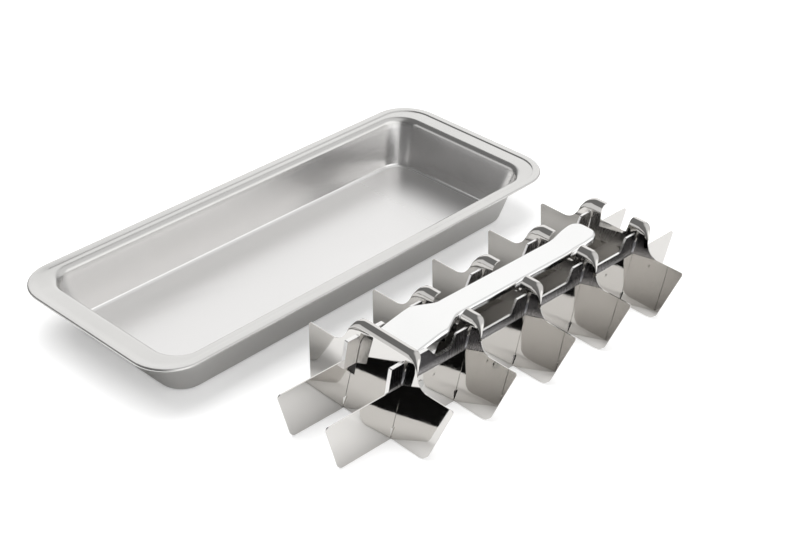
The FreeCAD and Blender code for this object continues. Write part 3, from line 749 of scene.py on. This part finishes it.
class ICETRAY_OT_pan(bpy.types.Operator):
    """Builds the pan"""
    bl_idname = "icetray.pan"
    bl_label = "Pan"

    def execute(self, context):
        tray = context.scene.icetray
        build_pan(tray.pan)
        # stainless steel, drawn and satin: soft wide reflections, faint lines along the tray and cloudy
        # patches; painted light makes the upward faces inside brighter, and the floor is duller by its far
        # end
        satin = steel("stainless_steel_drawn_satin", tray.colours.pan, gloss=(0.20, 0.27),
                      lay=(60.0, 0.7, 0.7), lay_depth=0.0006, wave=34.0, wave_depth=0.03,
                      tints=[(painted_light_inside, tray.colours.pan_inside_lit)], matt=floor_gloss)
        finish("pan_shell", satin)
        return {"FINISHED"}


class ICETRAY_OT_dividers(bpy.types.Operator):
    """Builds the five cross dividers"""
    bl_idname = "icetray.dividers"
    bl_label = "Cross dividers"

    def execute(self, context):
        tray = context.scene.icetray
        for index in range(DIVIDERS):
            build_divider(tray.divider, index)
        # stainless steel, rolled mirror bright: sharp black and white reflections that bend where the
        # sheet buckles, with barely seen lines across
        cross = steel("stainless_steel_rolled_mirror_cross", tray.colours.mirror, gloss=(0.02, 0.05),
                      lay=(0.3, 9.0, 9.0), lay_depth=0.00005, wave=24.0, wave_depth=0.12,
                      normal=leaned_sheet(towards_x=0.05, towards_y=0.0, left_over=1.0))
        finish("divider_sheet", cross)
        return {"FINISHED"}


class ICETRAY_OT_plates(bpy.types.Operator):
    """Finishes the two long divider plates"""
    bl_idname = "icetray.plates"
    bl_label = "Long plates"

    def execute(self, context):
        hue = context.scene.icetray.colours.mirror
        # stainless steel, rolled mirror bright, as the cross dividers; the right plate is slightly twisted
        twisted = leaned_sheet(towards_x=0.0, towards_y=0.05, left_over=0.05)
        for side, normal in (("left", None), ("right", twisted)):
            plate = steel("stainless_steel_rolled_mirror_" + side, hue, gloss=(0.02, 0.05),
                          lay=(9.0, 0.3, 9.0), lay_depth=0.00005, wave=24.0, wave_depth=0.12, normal=normal)
            finish("divider_plate_" + side, plate)
        return {"FINISHED"}


class ICETRAY_OT_sliders(bpy.types.Operator):
    """Finishes the two sliders"""
    bl_idname = "icetray.sliders"
    bl_label = "Sliders"

    def execute(self, context):
        hues = context.scene.icetray.colours
        # stainless steel strip, brushed across: streaks up and down its faces and bright cut edges; the
        # right one's upright faces are painted dark as painted reflection, and painted lighter lower down
        tints = {"left": [], "right": [(cheeks, hues.slider_painted_reflection), (low_cheeks, hues.slider_low_painted_reflection)]}
        for side, shades in tints.items():
            strip = steel("stainless_steel_strip_brushed_" + side, hues.slider, gloss=(0.16, 0.30),
                          lay=(0.25, 3.0, 9.0), lay_depth=0.002, wave=14.0, wave_depth=0.03, tints=shades)
            finish("slider_" + side, strip)
        return {"FINISHED"}


class ICETRAY_OT_lever(bpy.types.Operator):
    """Finishes the lever"""
    bl_idname = "icetray.lever"
    bl_label = "Lever"

    def execute(self, context):
        # stainless steel, pressed and buffed: a smooth bright face with barely seen lengthwise lines
        bright = steel("stainless_steel_pressed_buffed", context.scene.icetray.colours.lever,
                       gloss=(0.14, 0.19), lay=(25.0, 0.4, 0.4), lay_depth=0.0003, wave=30.0,
                       wave_depth=0.01, normal=flattened_face)
        finish("lever", bright)
        return {"FINISHED"}


class ICETRAY_OT_rivets(bpy.types.Operator):
    """Finishes the pivot rivets and drive studs"""
    bl_idname = "icetray.rivets"
    bl_label = "Rivets and studs"

    def execute(self, context):
        # stainless steel, turned: a fine even grain that gives small soft highlights
        turned = steel("stainless_steel_turned", context.scene.icetray.colours.rivet, gloss=(0.18, 0.26),
                       lay=(0.2, 0.2, 0.2), lay_depth=0.0005, wave=6.0, wave_depth=0.005)
        finish("pivot_rivets", turned)
        finish("drive_stud", turned)
        return {"FINISHED"}


class ICETRAY_OT_stage(bpy.types.Operator):
    """Table, lamp, screens and camera"""
    bl_idname = "icetray.stage"
    bl_label = "Stage"

    def execute(self, context):
        studio = context.scene.icetray.studio
        build_table(studio)
        build_lamp(studio)
        build_screens(studio)
        build_camera()
        context.scene.view_settings.view_transform = "Standard"
        return {"FINISHED"}


def build_table(studio):
    """White paper; it ends on a line just below the picture, so the metal shows the dark room there."""
    near, far = studio.table_edge / 2.0, studio.table_reach
    corners = [(near + far, near - far), (near + 2 * far, near),
               (near, near + 2 * far), (near - far, near + far)]
    mesh = bpy.data.meshes.new("table")
    mesh.from_pydata([(x, y, 0.0) for x, y in corners], [], [(0, 1, 2, 3)])
    table = bpy.data.objects.new("table", mesh)
    bpy.context.scene.collection.objects.link(table)
    # paper, uncoated: an even white without gloss, lifted a little where the camera sees it directly, and
    # to full white away from the tray, as paper on a light table is
    material = bpy.data.materials.new("paper_uncoated")
    material.use_nodes = True
    tree = material.node_tree
    tree.nodes.clear()
    paper = add_node(tree, "ShaderNodeBsdfDiffuse", {"Color": studio.paper}).outputs[0]
    place = add_node(tree, "ShaderNodeTexCoord").outputs["Object"]
    away = add_node(tree, "ShaderNodeVectorMath", {0: place}, operation="LENGTH").outputs["Value"]
    lift = add_node(tree, "ShaderNodeMapRange", {"Value": away, "From Min": WHITE_FROM, "From Max": WHITE_TO,
                                                 "To Min": studio.paper_glow}).outputs[0]
    glow = add_node(tree, "ShaderNodeEmission", {"Strength": lift}).outputs[0]
    lifted = add_node(tree, "ShaderNodeAddShader", {0: paper, 1: glow}).outputs[0]
    seen = add_node(tree, "ShaderNodeLightPath").outputs["Is Camera Ray"]
    both = add_node(tree, "ShaderNodeMixShader", {0: seen, 1: paper, 2: lifted}).outputs[0]
    add_node(tree, "ShaderNodeOutputMaterial", {"Surface": both})
    mesh.materials.append(material)


def build_lamp(studio):
    """A wide soft lamp overhead, which the metal doesn't mirror."""
    lamp = bpy.data.lights.new("overhead", "AREA")
    lamp.shape = "RECTANGLE"
    lamp.size = studio.lamp_long
    lamp.size_y = studio.lamp_wide
    lamp.energy = studio.lamp_power
    holder = bpy.data.objects.new("overhead", lamp)
    holder.location = LAMP_PLACE
    holder.visible_glossy = False
    bpy.context.scene.collection.objects.link(holder)


def build_screens(studio):
    """World of soft screens in a dark room: the brightest screen in each direction counts."""
    world = bpy.data.worlds.new("studio")
    bpy.context.scene.world = world
    world.use_nodes = True
    tree = world.node_tree
    tree.nodes.clear()
    direction = add_node(tree, "ShaderNodeTexCoord").outputs["Generated"]
    light = ROOM_LEVEL
    for towards, start, stop, strength in SCREENS:
        facing = add_node(tree, "ShaderNodeVectorMath", {0: direction, 1: towards}, operation="DOT_PRODUCT")
        screen = add_node(tree, "ShaderNodeMapRange", {"Value": facing.outputs["Value"], "From Min": start,
                                                       "From Max": stop, "To Min": ROOM_LEVEL,
                                                       "To Max": strength},
                          interpolation_type="SMOOTHSTEP").outputs[0]
        light = add_node(tree, "ShaderNodeMath", {0: light, 1: screen}, operation="MAXIMUM").outputs[0]
    seen = add_node(tree, "ShaderNodeLightPath").outputs["Is Camera Ray"]
    levels = {0: seen, 2: light, 3: studio.backdrop}
    whole = add_node(tree, "ShaderNodeMix", levels, data_type="FLOAT").outputs[0]
    background = add_node(tree, "ShaderNodeBackground", {"Color": (1.0, 1.0, 1.0, 1.0), "Strength": whole})
    add_node(tree, "ShaderNodeOutputWorld", {"Surface": background.outputs[0]})


def build_camera():
    """The photograph's camera."""
    camera = bpy.data.cameras.new("camera")
    camera.lens = CAMERA_LENS
    camera.sensor_width = SENSOR_WIDTH
    camera.sensor_fit = "HORIZONTAL"
    camera.clip_start = 0.01
    camera.clip_end = 20.0
    holder = bpy.data.objects.new("camera", camera)
    right = Vector(CAMERA_RIGHT).normalized()
    back = right.cross(Vector(CAMERA_UP)).normalized()
    turn = Matrix((right, back.cross(right), back)).transposed()
    holder.matrix_world = Matrix.Translation(Vector(CAMERA_PLACE) * MM) @ turn.to_4x4()
    bpy.context.scene.collection.objects.link(holder)
    bpy.context.scene.camera = holder


GROUPS = (IcetrayPan, IcetrayDivider, IcetrayColours, IcetrayStudio, IcetraySettings)
OPERATORS = (ICETRAY_OT_pan, ICETRAY_OT_dividers, ICETRAY_OT_plates, ICETRAY_OT_sliders, ICETRAY_OT_lever,
             ICETRAY_OT_rivets, ICETRAY_OT_stage)


class ICETRAY_PT_tray(bpy.types.Panel):
    """Lists the operators in building order"""
    bl_idname = "ICETRAY_PT_tray"
    bl_label = "Ice tray"
    bl_space_type = "VIEW_3D"
    bl_region_type = "UI"
    bl_category = "Ice tray"

    def draw(self, context):
        for operator in OPERATORS:
            self.layout.operator(operator.bl_idname)


CLASSES = GROUPS + OPERATORS + (ICETRAY_PT_tray,)


def register():
    for cls in CLASSES:
        bpy.utils.register_class(cls)
    bpy.types.Scene.icetray = PointerProperty(type=IcetraySettings)


def unregister():
    del bpy.types.Scene.icetray
    for cls in reversed(CLASSES):
        bpy.utils.unregister_class(cls)


def main():
    register()
    bpy.ops.icetray.pan()
    bpy.ops.icetray.dividers()
    bpy.ops.icetray.plates()
    bpy.ops.icetray.sliders()
    bpy.ops.icetray.lever()
    bpy.ops.icetray.rivets()
    bpy.ops.icetray.stage()


if __name__ == "__main__":
    main()
